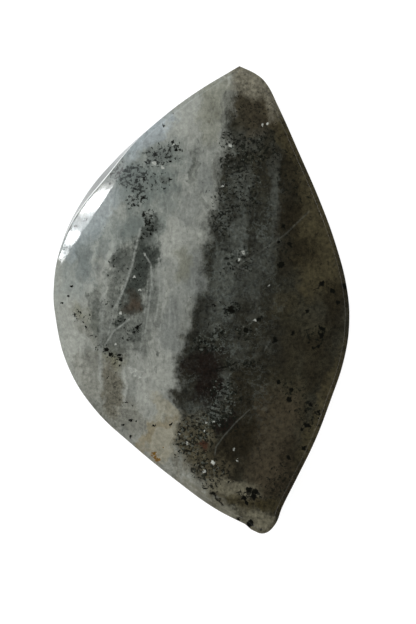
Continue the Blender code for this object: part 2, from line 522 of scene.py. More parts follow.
# %% [markdown]
# Every marking is one of two simple shapes, seen from above and given in millimetres: a patch, which is a
# soft leaning ellipse, and a vein, which is a soft line between two places. They are node groups, so a
# marking is one node in the material, and each adds itself to the mask that it is handed. Their edges get
# their ragged look later, from a small random shift of the places that they read.

# %% Patch and vein
patch_group, given, result = new_group(
    "patch",
    (
        ("Under", "Float"), ("Place", "Vector"), ("Wear", "Float"), ("Centre", "Vector"), ("Along", "Vector"),
        ("Across", "Vector"), ("Softness", "Float"), ("Strength", "Float"),
    ),
    (("Mask", "Float"),),
)
sheet = patch_group
from_centre = combine("SUBTRACT", given["Place"], given["Centre"])
along = combine("DOT_PRODUCT", from_centre, given["Along"])
across = combine("DOT_PRODUCT", from_centre, given["Across"])
along_squared = times(along, along)
across_squared = times(across, across)
across_fourth = times(across_squared, across_squared)
fourth_powers = calculate("MULTIPLY_ADD", along_squared, along_squared, across_fourth)
reach = calculate("ADD", calculate("SQRT", fourth_powers), given["Wear"])
inner = calculate("SUBTRACT", 1.0, given["Softness"])
outer = calculate("MULTIPLY_ADD", given["Softness"], 2.0, 1.0)
patch_mask = ramp(reach, outer, inner, 0.0, given["Strength"])
feed(result["Mask"], calculate("MAXIMUM", given["Under"], patch_mask))

vein_group, given, result = new_group(
    "vein",
    (
        ("Under", "Float"), ("Place", "Vector"), ("Start", "Vector"), ("Run", "Vector"), ("Width", "Float"),
        ("Strength", "Float"),
    ),
    (("Mask", "Float"),),
)
sheet = vein_group
from_start = combine("SUBTRACT", given["Place"], given["Start"])
along = calculate(
    "DIVIDE", combine("DOT_PRODUCT", from_start, given["Run"]),
    combine("DOT_PRODUCT", given["Run"], given["Run"]),
)
along = calculate("MINIMUM", calculate("MAXIMUM", along, 0.0), 1.0)
scaled_run = lay("VectorMath", operation="SCALE")
feed(scaled_run.inputs[0], given["Run"])
feed(scaled_run.inputs["Scale"], along)
aside = combine("LENGTH", combine("SUBTRACT", from_start, scaled_run.outputs["Vector"]))
vein_mask = ramp(aside, given["Width"], 0.0, 0.0, given["Strength"])
feed(result["Mask"], calculate("MAXIMUM", given["Under"], vein_mask))
print("groups:", [group.name for group in bpy.data.node_groups])

# %% [markdown]
# A kind of marking comes many times over, so it is written as a list, and one mask is built from the
# whole list: each marking's node is handed the mask so far. A texture painted by hand would tie the
# markings to one resolution.

# %% Masks from lists of markings
def patches(place, wear, marks, softness=0.5):
    """One mask for patches, each given as x, y, half length, half width, turn in degrees and strength."""
    mask = 0.0
    for x, y, half_length, half_width, turn, strength in marks:
        cosine, sine = math.cos(math.radians(turn)), math.sin(math.radians(turn))
        mask = place_group(
            patch_group, Under=mask, Place=place, Wear=wear, Centre=(x, y, 0.0),
            Along=(cosine / half_length, sine / half_length, 0.0),
            Across=(-sine / half_width, cosine / half_width, 0.0), Softness=softness, Strength=strength,
        )
    return mask


def spots(place, wear, marks, softness=0.35):
    """One mask for round spots, each given as x, y and radius."""
    return patches(place, wear, [(x, y, radius, radius, 0.0, 1.0) for x, y, radius in marks], softness)


def veins(place, lines):
    """One mask for veins, each given as its half width, its strength and the places that it runs through."""
    mask = 0.0
    for half_width, strength, places in lines:
        for (x, y), (next_x, next_y) in zip(places, places[1:]):
            mask = place_group(
                vein_group, Under=mask, Place=place, Start=(x, y, 0.0), Run=(next_x - x, next_y - y, 0.0),
                Width=half_width, Strength=strength,
            )
    return mask

# %% [markdown]
# The markings are bodies inside the stone, so they read its own space. Below the shoulder each place is
# slid sideways by its depth, so that the layers slant through the girdle to the back as they do in a sawn
# slab. Two noises shift the places, one broad and one fine, and a third wears the edges.

# %% Places inside the stone
stone_material = bpy.data.materials.new("labradorite")
stone_material.use_nodes = True
sheet = stone_material.node_tree
shader = sheet.nodes["Principled BSDF"]
position = lay("TexCoord").outputs["Object"]
in_mm = combine("MULTIPLY", position, (1.0 / MM, 1.0 / MM, 1.0 / MM))
height = lay("SeparateXYZ")
feed(height.inputs[0], in_mm)
SHOULDER_MM = SHOULDER_HEIGHT / MM
LAYER_SLANT = (0.55, 0.2)
depth = calculate("MAXIMUM", calculate("SUBTRACT", SHOULDER_MM, height.outputs["Z"]), 0.0)
slide = lay("CombineXYZ")
feed(slide.inputs["X"], times(depth, LAYER_SLANT[0]))
feed(slide.inputs["Y"], times(depth, LAYER_SLANT[1]))
flat_place = combine("MULTIPLY", combine("ADD", in_mm, slide.outputs["Vector"]), (1.0, 1.0, 0.0))


def ragged(place, scale, amount):
    """The place, shifted at random by up to about a quarter of this amount, in millimetres."""
    shift = combine("SUBTRACT", grain(in_mm, scale, 3.0, 0.6, "Color"), (0.5, 0.5, 0.5))
    shift = combine("MULTIPLY", shift, (amount, amount, 0.0))
    return combine("ADD", place, shift)


WEAR_STRENGTH = 3.6
soft_place = ragged(flat_place, 0.6, 2.4)
fine_place = ragged(flat_place, 2.6, 0.8)
upright_grain = combine("MULTIPLY", in_mm, (1.0, 0.5, 1.0))
wear = times(calculate("SUBTRACT", grain(upright_grain, 1.8, 3.0, 0.7), 0.5), WEAR_STRENGTH)
print("markings are shifted and worn by three noises")

# %% [markdown]
# The mineral is laid in two halves. A pale feldspar band lies on the left and a dark one on the right,
# and they meet along a ragged line that wanders down the stone. A curve node holds that line: it turns
# the height on the stone into the line's place across it, which a straight gradient could not do.

# %% The line between the pale and the dark half
HALF_SPAN = 24.0
BOUNDARY_REACH = 8.0
BOUNDARY = (
    (-24.0, 6.0), (-22.0, 3.6), (-20.3, 1.9), (-19.0, 0.9), (-18.0, -0.3), (-17.0, -1.1), (-15.5, -1.9),
    (-14.0, -2.3), (-12.0, -2.3), (-10.5, -2.7), (-9.5, -3.0), (-8.6, -2.2), (-7.0, -2.4), (-5.0, -2.0),
    (-3.5, -1.8), (-2.0, -1.3), (-0.5, -0.8), (0.5, -0.3), (1.6, 0.3), (3.0, -0.1), (4.2, -0.2), (6.0, 0.3),
    (8.0, 0.8), (9.5, 1.3), (11.0, 1.5), (13.0, 1.5), (14.3, 1.9), (15.6, 2.7), (17.5, 2.4), (20.0, 2.7),
    (22.0, 3.1), (24.0, 3.7),
)
across_place = lay("SeparateXYZ")
feed(across_place.inputs[0], soft_place)
line_curve = lay("FloatCurve")
curve = line_curve.mapping.curves[0]
while len(curve.points) < len(BOUNDARY):
    curve.points.new(0.5, 0.5)
for point, (y, x) in zip(curve.points, BOUNDARY):
    point.location = ((y + HALF_SPAN) / (2 * HALF_SPAN), 0.5 + x / (2 * BOUNDARY_REACH))
line_curve.mapping.update()
share_up = calculate("MULTIPLY_ADD", across_place.outputs["Y"], 1 / (2 * HALF_SPAN), 0.5)
feed(line_curve.inputs["Value"], share_up)
line_x = calculate("MULTIPLY_ADD", line_curve.outputs[0], 2 * BOUNDARY_REACH, -BOUNDARY_REACH)
softness = ramp(across_place.outputs["Y"], -6.0, 6.0, 0.75, 1.05)
beyond_line = calculate("SUBTRACT", across_place.outputs["X"], line_x)
beyond_line = calculate("MULTIPLY_ADD", wear, 0.5, beyond_line)
dark_half = ramp(calculate("DIVIDE", beyond_line, softness), -1.0, 1.0)
print("boundary through", len(BOUNDARY), "places")

# %% [markdown]
# Each colour of the mineral is written as it looks on a screen under this light, because that is how one
# judges it against a specimen. A shader wants the share of light that the surface sends back, so a small
# function turns the one into the other: it undoes the screen's curve, takes off the faint gloss, and
# divides by the light on the dome.

# %% Colours of the mineral
LIGHT_COLOUR = (1.47, 1.51, 1.55)
FAINT_GLOSS = 0.002
DARKEST = 0.0008


def seen_as(red, green, blue):
    """The surface colour that shows as this screen colour, from 0 to 255, under the soft boxes."""
    linear = [((value / 255 + 0.055) / 1.055) ** 2.4 for value in (red, green, blue)]
    surface = [max((value - FAINT_GLOSS) / light, DARKEST) for value, light in zip(linear, LIGHT_COLOUR)]
    return (*surface, 1.0)


def cover(under, mask, colour):
    """One colour over what lies under it, where the mask is."""
    return blend_colours(mask, under, seen_as(*colour))


def paint(under, marks, colour, softness=0.5):
    """One layer of patches of one colour."""
    return cover(under, patches(soft_place, wear, marks, softness), colour)


def tint(under, mask, strength, colour):
    """A share of one colour, where the mask is."""
    return cover(under, times(mask, strength), colour)


print("pale feldspar:", [round(value, 3) for value in seen_as(136, 139, 133)])

# %% [markdown]
# The pale half is milky feldspar. It is not one grey: broad clouds make it lighter in places, and fine
# upright lamellae, the twin planes of the crystal, run through it. The lamellae are a noise that is
# stretched along the stone, because a regular wave would look woven.

# %% The pale half
clouds = grain(flat_place, 0.28, 3.0, 0.55)
pale = blend_colours(ramp(clouds, 0.35, 0.65), seen_as(130, 133, 128), seen_as(152, 155, 148))
streaks = grain(combine("MULTIPLY", in_mm, (1.2, 0.4, 1.0)), 1.0, 4.0, 0.6)
lamellae = grain(combine("MULTIPLY", soft_place, (3.6, 0.14, 1.0)), 1.0, 2.0, 0.5)
pale = tint(pale, ramp(streaks, 0.5, 0.68), 0.5, (98, 101, 96))
pale = tint(pale, ramp(streaks, 0.48, 0.34), 0.45, (162, 165, 158))
dashes = grain(combine("MULTIPLY", in_mm, (2.6, 1.3, 1.0)), 1.0, 2.0, 0.6)
pale = tint(pale, ramp(dashes, 0.6, 0.7), 0.55, (84, 87, 83))
MILKY = (
    (-13.7, -2.6, 4.6, 1.1, 97, 0.75), (-13.0, -6.0, 2.8, 0.9, 112, 0.85), (-11.7, -0.4, 2.2, 0.6, 95, 0.5),
    (-9.45, 4.2, 1.9, 0.3, 84, 0.75), (-10.9, 1.9, 1.0, 0.45, 90, 0.5), (-1.0, 10.2, 2.6, 0.9, 90, 0.4),
    (-2.6, 6.6, 1.6, 1.0, 90, 0.5), (-5.6, -9.6, 2.6, 0.7, 92, 0.5), (-6.2, -12.6, 1.6, 0.8, 60, 0.4),
    (2.2, 22.6, 1.9, 0.8, 32, 0.85), (-1.0, 19.6, 1.8, 1.3, 50, 0.65), (-3.4, -6.5, 2.5, 0.9, 88, 0.3),
    (-10.2, -8.9, 1.9, 0.35, 85, 0.7), (-7.9, -9.2, 1.8, 0.3, 85, 0.65), (-1.6, -18.0, 2.4, 0.5, -38, 0.55),
    (-2.6, 17.6, 2.2, 1.2, 50, 0.65), (-8.6, 9.4, 1.4, 0.8, 60, 0.3), (-11.2, 2.4, 2.6, 0.45, 88, 0.7),
    (-9.6, 2.2, 2.0, 0.35, 82, 0.6), (-4.4, 8.4, 1.6, 0.8, 85, 0.45), (-1.6, 16.4, 1.6, 0.9, 70, 0.45),
    (-13.2, 2.0, 2.0, 0.9, 88, 0.55), (-3.6, 5.6, 1.5, 1.2, 80, 0.7), (-12.2, 1.1, 1.9, 1.4, 0, 0.6),
    (-4.9, 5.6, 2.4, 0.8, 88, 0.4), (-5.0, 16.2, 1.9, 1.0, 45, 0.45),
)
# Painted reflection: patches of the sky glow's bluish haze on the upper left rim, put into the colour.
PAINTED_RIM_REFLECTION = (
    (-10.4, 8.8, 2.8, 1.0, 55, 0.6), (-12.6, 6.2, 1.8, 0.6, 55, 0.55), (-5.6, 16.7, 2.9, 0.8, 41, 0.9),
)
COOL_GREY = (
    (-12.0, 3.9, 1.8, 0.8, 92, 0.75), (-11.4, 6.3, 1.2, 0.6, 30, 0.4), (-13.6, 4.0, 1.4, 0.4, 75, 0.3),
    (-10.2, 5.2, 0.9, 0.5, 90, 0.5), (-7.6, 7.2, 1.2, 0.8, 40, 0.45), (-4.2, 16.4, 1.6, 0.6, 20, 0.25),
    (-10.4, 3.0, 0.6, 0.4, -40, 0.45), (-3.5, 9.6, 1.4, 0.6, 90, 0.3), (-1.4, 14.4, 1.8, 0.4, 92, 0.35),
    (-2.4, 0.6, 2.6, 0.9, 88, 0.45), (-1.4, 4.0, 1.6, 0.7, 88, 0.2), (-3.0, -3.2, 1.8, 1.0, 90, 0.6),
    (0.3, 12.4, 1.6, 0.7, 90, 0.55), (-0.9, 2.6, 2.2, 1.1, 90, 0.6), (-4.4, 2.4, 2.2, 0.7, 85, 0.45),
    (-1.2, 9.2, 1.6, 0.9, 90, 0.45),
)
COLD_GREY = (
    (-12.2, 4.8, 3.0, 1.4, 80, 0.24), (-9.6, 6.4, 1.6, 1.2, 60, 0.18), (-13.0, 2.2, 1.6, 1.2, 90, 0.25),
)
BROWN_GREY = (
    (-9.1, -9.0, 3.4, 0.9, 88, 0.95), (-9.2, -11.3, 1.2, 1.0, 0, 0.5), (-11.5, -6.4, 1.3, 1.0, 0, 0.4),
    (-9.7, -6.2, 1.2, 0.7, 0, 0.35), (-11.4, -8.6, 2.2, 0.8, 112, 0.4),
    (-11.4, -3.3, 1.4, 0.6, -40, 0.4), (-7.2, -12.2, 1.8, 1.2, -50, 0.5), (-3.2, -17.0, 1.6, 0.7, -40, 0.45),
)
OLIVE_TINT = (
    (1.2, 20.2, 2.0, 1.0, 80, 0.55), (0.9, 17.6, 1.6, 0.7, 90, 0.4), (-1.9, 3.6, 1.4, 0.6, 90, 0.5),
    (-11.4, -1.9, 1.2, 0.5, -40, 0.4), (-8.9, -6.0, 1.1, 0.6, -30, 0.6), (-12.7, -1.3, 0.7, 0.4, -50, 0.6),
)
pale = paint(pale, MILKY, (164, 167, 160), 0.7)
# Painted reflection: the bluish haze on the upper left rim is partly the sky glow's real reflection and
# partly painted in here.
pale = paint(pale, PAINTED_RIM_REFLECTION, (159, 168, 172), 0.7)
pale = paint(pale, COOL_GREY, (107, 111, 109), 0.6)
pale = paint(pale, COLD_GREY, (132, 147, 149), 1.0)
brown_mask = patches(soft_place, wear, BROWN_GREY, 0.8)
pale = tint(pale, brown_mask, 0.92, (97, 94, 82))
pale = paint(pale, OLIVE_TINT, (112, 112, 95), 1.0)
print("pale patches:", sum(map(len, (MILKY, PAINTED_RIM_REFLECTION, COOL_GREY, COLD_GREY, BROWN_GREY, OLIVE_TINT))))

# %% [markdown]
# Inside the pale half lie slanting slabs of darker grey-green mineral, some of them brownish. They are
# laid from the thin smoky ones to the dense cores, so each slab keeps a soft dim rim, as a body under
# milky stone does.

# %% Slabs in the pale half
TEAL_SMOKE = (
    (-7.2, 12.8, 2.0, 1.2, -30, 0.8), (-4.2, 14.4, 2.0, 1.4, 15, 0.6), (-6.2, 11.4, 2.0, 1.5, -60, 0.75),
    (-4.6, 12.2, 1.9, 1.3, 0, 0.75), (-3.8, 10.2, 1.3, 1.2, 0, 0.45), (-5.4, 9.2, 1.3, 0.9, 0, 0.2),
    (-5.0, 7.4, 1.8, 0.9, 82, 0.6), (-7.0, 7.6, 1.4, 0.9, 75, 0.65), (-8.2, 11.0, 1.2, 0.8, 60, 0.4),
    (-8.6, 7.4, 1.6, 0.9, 60, 0.25),
)
GREY_SLABS = (
    (-5.9, 3.4, 2.7, 1.3, 80, 0.95), (-6.9, 0.4, 2.2, 1.3, 75, 0.95), (-5.4, 6.7, 1.9, 0.75, 82, 0.75),
    (-8.1, 3.6, 2.1, 0.9, 76, 0.72), (-8.8, 1.2, 1.6, 0.6, 80, 0.7), (-9.2, -0.7, 0.8, 0.5, -40, 0.5),
    (-9.6, -2.6, 1.6, 0.5, 100, 0.5), (-7.5, -3.0, 1.9, 1.3, 20, 0.7), (-8.0, -4.5, 2.2, 0.9, 0, 0.6),
    (-10.4, 0.2, 1.4, 0.5, 85, 0.5), (-10.7, -1.8, 2.2, 0.6, 95, 0.75), (-5.0, 0.2, 0.5, 1.8, 0, 0.55),
    (-0.8, 13.2, 1.7, 0.4, 88, 0.6), (0.4, 9.9, 0.6, 0.25, -50, 0.4), (-4.4, -5.4, 0.3, 0.2, 60, 0.6),
    (-5.2, -3.6, 0.7, 0.3, 90, 0.5), (-4.4, -1.6, 1.2, 0.3, 90, 0.35), (-3.3, 12.1, 0.5, 0.35, 0, 0.6),
)
SLAB_CORES = (
    (-5.9, 4.0, 1.5, 0.9, 75, 0.9), (-6.6, 1.8, 1.3, 0.95, 70, 0.9), (-4.8, 4.7, 0.6, 0.4, -50, 0.7),
    (-4.4, 4.0, 0.3, 0.2, 0, 0.7), (-4.1, 14.8, 1.4, 0.8, 12, 0.35), (-6.9, 12.2, 1.3, 0.8, -40, 0.3),
    (-5.4, 7.5, 1.3, 0.7, 82, 0.65), (-8.2, 4.4, 1.0, 0.7, 80, 0.5), (-8.3, -2.1, 0.7, 0.5, 0, 0.7),
    (-6.5, -2.9, 0.6, 0.4, 50, 0.6), (-6.7, -4.0, 0.6, 0.4, 0, 0.4),
)
BROWN_SLABS = ((-6.9, -0.4, 1.1, 0.8, 75, 0.75),)
RED_SLABS = ((-6.8, -0.5, 0.5, 0.4, 0, 0.45),)
slab_mask = patches(soft_place, wear, GREY_SLABS, 0.55)
pale = paint(pale, TEAL_SMOKE, (100, 109, 106), 0.9)
pale = tint(pale, slab_mask, 1.0, (82, 86, 81))
pale = paint(pale, SLAB_CORES, (58, 62, 58), 0.5)
pale = paint(pale, BROWN_SLABS, (62, 58, 50), 0.6)
pale = paint(pale, RED_SLABS, (68, 54, 43), 0.8)
print("slabs:", sum(map(len, (TEAL_SMOKE, GREY_SLABS, SLAB_CORES, BROWN_SLABS, RED_SLABS))))

# %% [markdown]
# Near the lower left rim a weathered zone is cream and tan, stained by iron.

# %% Cream zone
CREAM = (
    (-4.0, -13.9, 2.2, 1.5, 60, 0.7), (-4.2, -10.7, 1.1, 0.5, -50, 0.6), (-3.0, -11.4, 0.9, 0.5, -50, 0.7),
)
TAN = (
    (-5.1, -13.4, 1.1, 0.4, 60, 0.6), (-5.9, -14.7, 0.8, 0.4, 70, 0.5), (-3.8, -12.6, 0.9, 0.4, 10, 0.55),
)
pale = paint(pale, CREAM, (149, 145, 127))
pale = paint(pale, TAN, (124, 114, 90))
print("iron stains:", len(TAN))

# %% [markdown]
# The dark half is laid in the same way: a brown-black ground, bluish haze where feldspar crystals scatter
# the light, olive and grey-brown fields, and near-black hollows between them.

# %% The dark half
HAZE_GROUND = (
    (2.8, 2.6, 9.0, 4.2, 86, 0.9), (1.6, -10.4, 3.2, 2.4, 80, 0.8), (5.2, 14.2, 3.4, 2.2, 90, 0.3),
)
HAZE = (
    (3.7, 6.4, 2.0, 0.8, 86, 0.85), (2.6, 2.6, 2.9, 1.3, 85, 0.7), (5.2, 1.8, 2.4, 1.1, 82, 0.45),
    (6.2, 4.6, 1.6, 1.0, 80, 0.45), (7.5, 11.0, 3.6, 0.5, 90, 0.65), (7.4, 6.8, 1.4, 0.5, 90, 0.45),
    (4.2, 11.3, 2.2, 0.9, 95, 0.45), (1.8, -1.4, 1.4, 0.9, 0, 0.55), (1.5, 0.3, 1.2, 0.8, 0, 0.45),
    (3.9, -5.0, 1.8, 0.8, 80, 0.3), (2.4, -9.2, 1.9, 0.6, 80, 0.5), (1.2, -11.2, 0.9, 0.5, 0, 0.25),
    (-0.9, -11.3, 1.1, 0.8, 0, 0.4), (5.7, -5.8, 0.6, 0.4, 60, 0.35), (5.5, -1.4, 0.8, 0.6, 0, 0.4),
    (1.0, -2.5, 0.8, 0.6, 0, 0.5), (6.6, -4.7, 0.6, 0.4, -60, 0.3), (4.6, 16.4, 1.6, 1.1, 0, 0.35),
    (2.2, 8.6, 1.4, 0.6, 80, 0.35), (4.0, -2.6, 0.7, 0.5, 0, 0.3),
)
OLIVE = (
    (11.9, 4.9, 4.6, 1.9, 95, 0.85), (10.8, -4.6, 3.2, 1.8, 80, 0.2), (8.2, -0.6, 1.4, 1.2, 0, 0.35),
    (11.5, 9.5, 3.4, 1.0, 115, 0.75), (8.6, -10.6, 2.8, 2.0, 90, 0.3), (8.3, 17.6, 4.2, 0.9, 116, 0.85),
    (12.5, -11.6, 6.0, 0.9, 68, 0.75),
)
GREY_BROWN = (
    (7.4, -13.6, 3.6, 2.0, 80, 0.75), (7.0, -17.6, 2.2, 2.2, 0, 0.85), (5.4, 19.2, 2.2, 1.6, -60, 0.55),
)
BROWN_BLACK = (
    (9.6, 5.0, 1.9, 1.3, 0, 0.7), (8.9, 8.3, 1.8, 1.2, 80, 0.8), (8.9, 12.4, 2.8, 0.9, 108, 0.5),
    (8.3, 17.0, 1.6, 0.35, 117, 0.25), (11.8, -6.3, 2.2, 1.3, 90, 0.55), (4.3, -9.5, 2.4, 0.8, 100, 0.75),
    (3.4, -14.4, 2.8, 1.5, 55, 0.9), (3.4, -16.7, 1.4, 1.0, 0, 0.6), (9.3, -16.0, 1.8, 0.9, 110, 0.55),
    (8.3, -18.9, 1.4, 1.0, 60, 0.6), (8.6, 3.4, 0.9, 0.7, 0, 0.6), (6.3, 13.0, 1.8, 0.9, 90, 0.4),
    (7.0, 15.5, 1.2, 0.6, 90, 0.3), (9.0, -5.5, 3.0, 1.0, 85, 0.5), (13.6, -0.4, 1.8, 1.0, 92, 0.75),
    (5.2, -2.6, 2.2, 1.4, 80, 0.45), (6.6, -6.6, 2.6, 1.7, 0, 0.5), (3.2, -11.0, 1.1, 0.9, 0, 0.75),
    (6.2, -9.4, 1.6, 1.2, 0, 0.35), (7.2, -3.0, 1.2, 1.0, 0, 0.4),
)
GREY_BLACK = (
    (0.1, -1.3, 1.6, 0.9, 75, 0.75), (-0.4, -4.4, 2.2, 0.9, 80, 0.7), (3.3, 14.0, 1.2, 0.7, 30, 0.6),
    (5.3, 5.6, 1.0, 0.6, -50, 0.7), (4.1, 2.4, 0.7, 0.7, 0, 0.5), (6.8, 0.4, 0.5, 1.2, 0, 0.6),
    (1.4, 6.2, 1.6, 0.5, 85, 0.4), (5.4, 8.9, 1.2, 0.9, 90, 0.55), (4.2, -1.4, 1.6, 0.6, 60, 0.55),
    (0.9, 3.6, 1.4, 0.5, 80, 0.5), (3.2, 9.4, 1.6, 0.5, 95, 0.45), (-1.6, -10.0, 1.5, 0.8, 70, 0.7),
    (3.2, -3.0, 1.4, 1.0, 0, 0.5), (4.4, 0.8, 1.3, 0.8, 0, 0.4), (2.6, 5.4, 0.9, 0.6, 0, 0.5),
    (5.4, 2.4, 2.0, 1.4, 80, 0.3), (7.2, -5.0, 1.7, 1.2, 80, 0.35), (13.0, -0.8, 1.2, 1.4, 90, 0.35),
)
RED_BLACK = (
    (0.8, -7.8, 2.3, 1.2, 85, 0.9), (-0.3, -6.9, 1.3, 0.8, 0, 0.7), (2.2, -12.8, 1.3, 0.6, 25, 0.85),
)
dark = blend_colours(ramp(clouds, 0.35, 0.65), seen_as(41, 39, 31), seen_as(53, 52, 43))
dark = paint(dark, HAZE_GROUND, (49, 50, 44), 1.0)
dark = paint(dark, HAZE, (81, 84, 79), 0.6)
dark = paint(dark, OLIVE, (68, 63, 46), 0.7)
dark = paint(dark, GREY_BROWN, (66, 60, 48), 0.7)
print("haze and olive patches:", len(HAZE) + len(OLIVE) + len(GREY_BROWN))

# %% [markdown]
# The haze is not a plain veil: it is woven of fine pale threads, the edges of crystals. A noise has such
# threads where it crosses its middle value, so the distance from that value, turned upside down, draws
# them.

# %% Crystal threads
THREAD_WIDTH = 0.045
THREAD_ZONE = ((2.6, 0.0, 11.0, 4.0, 88, 1.0), (1.2, -10.5, 3.0, 2.6, 80, 1.0))
thread_noise = grain(in_mm, 1.1, 3.0, 0.65)
off_middle = calculate("ABSOLUTE", calculate("SUBTRACT", thread_noise, 0.5))
threads = ramp(off_middle, THREAD_WIDTH, 0.0)
thread_zone = patches(soft_place, wear, THREAD_ZONE, 0.8)
dark = tint(dark, times(threads, thread_zone), 0.55, (92, 98, 95))
print("threads over", len(THREAD_ZONE), "zones")

# %% [markdown]
# Over all that come the near-black hollows, brown where light still gets in and red-black in the deepest
# one.

# %% Hollows
dark = paint(dark, GREY_BLACK, (41, 41, 36), 0.6)
dark = paint(dark, BROWN_BLACK, (35, 31, 22), 0.8)
dark = paint(dark, RED_BLACK, (25, 18, 15), 0.8)
print("hollows:", len(GREY_BLACK) + len(BROWN_BLACK) + len(RED_BLACK))

# %% [markdown]
# The two halves are joined along the line. A grainy brown zone straddles it low down, and both tips have
# their own colours, so those are painted over the join.

# %% Join and tips
GRAINY = ((-0.8, -14.8, 2.4, 1.6, 90, 0.7), (1.0, -17.6, 1.7, 1.3, 60, 0.55))
TOP_TIP = ((5.2, 22.7, 2.0, 1.4, -25, 1.0), (7.0, 20.9, 1.9, 0.8, -62, 0.8))
LOW_LIGHT = (
    (3.3, -19.4, 2.1, 0.85, -8, 0.8), (2.4, -21.7, 2.1, 0.6, -30, 0.8), (5.8, -22.8, 2.0, 1.1, -20, 0.85),
    (-0.4, -19.6, 2.0, 0.5, -35, 0.6),
)
OLIVE_BAND = (
    (5.2, -20.8, 3.4, 0.5, -8, 0.6), (1.4, -20.1, 0.5, 0.5, 0, 0.5), (8.0, -21.0, 1.0, 0.5, -30, 0.3),
)
ground = blend_colours(dark_half, pale, dark)
ground = paint(ground, GRAINY, (84, 79, 63), 0.7)
ground = paint(ground, TOP_TIP, (118, 115, 102), 1.0)
ground = paint(ground, LOW_LIGHT, (108, 105, 90), 0.7)
ground = paint(ground, OLIVE_BAND, (58, 52, 34), 0.7)
print("tip patches:", len(TOP_TIP) + len(LOW_LIGHT) + len(OLIVE_BAND))

# %% [markdown]
# Mossy grains of black pyroxene gather in clusters. A cluster is again a patch, but it does not paint: it
# lowers the threshold of a fine noise, so that grains are dense at its middle and thin out towards its
# edge. Light crystal flecks are made in the same way with another stretch of the noise.

# %% Moss and flecks
MOSS = (
    (-7.0, 12.6, 1.7, 1.1, -30, 0.95), (-4.0, 14.8, 1.8, 1.0, 15, 0.9), (-6.4, 10.7, 1.5, 0.7, 65, 0.95),
    (-2.8, 15.6, 0.8, 0.6, 0, 0.9), (-5.6, 7.7, 1.4, 0.7, 85, 1.0), (-8.3, 3.4, 1.6, 1.0, 80, 0.55),
    (-6.2, 3.0, 2.2, 0.9, 80, 0.5), (-9.2, -0.5, 1.0, 0.7, -40, 0.65), (-8.3, -2.0, 0.8, 0.6, 0, 0.8),
    (-6.9, -3.3, 1.0, 0.9, 0, 0.7), (-9.2, -5.6, 1.5, 0.6, -35, 0.7), (-12.3, -1.8, 1.1, 0.6, -40, 0.6),
    (-5.0, 12.2, 1.6, 0.8, 0, 0.7), (3.2, 16.2, 1.3, 1.0, 0, 0.9), (5.5, 15.5, 2.3, 1.5, 0, 0.9),
    (3.4, 13.9, 1.4, 1.0, 0, 0.95), (4.5, 12.0, 2.6, 1.7, 90, 0.75), (3.4, 10.4, 2.2, 1.5, 0, 0.8),
    (2.2, 8.4, 1.8, 0.9, 80, 0.85), (5.5, 19.0, 2.4, 1.5, 0, 0.5), (9.0, 12.5, 3.0, 1.5, 115, 0.65),
    (3.8, 4.0, 1.5, 1.3, 0, 0.85), (3.0, -1.0, 1.0, 0.7, 0, 0.95), (0.4, -4.6, 1.4, 0.9, 0, 0.95),
    (1.5, -3.6, 0.9, 1.0, 60, 0.8), (4.6, -3.1, 0.8, 0.6, 40, 0.85), (2.3, -9.6, 1.7, 1.4, 90, 1.0),
    (1.8, -12.4, 1.7, 1.0, 0, 1.0), (-0.6, -14.0, 2.0, 1.7, 90, 1.0), (0.8, -17.2, 1.9, 1.4, -40, 0.95),
    (9.0, -9.2, 1.5, 1.0, -40, 0.7), (11.3, -11.6, 1.3, 1.8, 60, 0.7), (11.9, -3.6, 0.9, 1.4, 90, 0.75),
    (8.0, -18.5, 1.8, 1.3, 60, 0.7), (7.6, -20.8, 2.0, 0.8, 0, 0.4), (4.9, -20.0, 1.1, 0.6, 0, 1.0),
    (4.0, -6.6, 2.4, 0.4, 5, 0.9), (9.0, 5.6, 1.8, 1.4, 0, 0.6), (-9.0, -9.0, 3.0, 1.2, 90, 0.35),
)
FLECKS = (
    (3.8, 4.2, 1.1, 0.9, 0, 0.9), (1.0, -4.2, 1.1, 0.9, 0, 0.9), (2.3, -9.8, 1.7, 1.3, 90, 0.95),
    (0.9, -12.4, 1.3, 0.7, 0, 0.9), (-1.0, -14.3, 1.6, 1.4, 90, 0.9), (0.4, -17.2, 1.5, 1.0, -40, 0.8),
    (2.8, 15.6, 1.1, 0.6, -20, 0.9), (-3.2, 14.6, 1.0, 0.9, 0, 0.8), (-8.3, -1.4, 0.6, 0.5, 0, 0.9),
    (1.6, -3.0, 0.8, 1.0, 0, 0.8), (4.8, -2.6, 0.9, 0.9, 60, 0.7), (-6.6, -7.6, 0.9, 0.4, -30, 0.7),
    (-8.2, 3.2, 1.2, 0.8, 80, 0.6), (4.6, 13.5, 3.0, 2.4, 90, 0.6),
)
FLECK_OFFSET = (7.3, 2.9, 4.1)
GRAIN_EDGE = 0.04


def grains(cluster, place, scale, rarest, commonest):
    """Small sharp grains of noise, rare where the cluster mask is 0 and common where it is 1."""
    noise_value = grain(place, scale, 2.0, 0.6)
    threshold = calculate("MULTIPLY_ADD", cluster, commonest - rarest, rarest)
    return ramp(noise_value, threshold, calculate("ADD", threshold, GRAIN_EDGE))


moss_clusters = patches(soft_place, wear, MOSS, 0.7)
moss = grains(moss_clusters, in_mm, 3.3, rarest=0.75, commonest=0.485)
fleck_clusters = patches(soft_place, wear, FLECKS, 0.7)
fleck_place = combine("ADD", in_mm, FLECK_OFFSET)
flecks = grains(fleck_clusters, fleck_place, 3.4, rarest=0.8, commonest=0.52)
ground = tint(ground, moss, 0.86, (22, 24, 19))
ground = tint(ground, flecks, 0.36, (108, 114, 108))
print("clusters:", len(MOSS) + len(FLECKS))

# %% [markdown]
# Healed cracks and cleavage planes show as fine light lines, nearly straight.

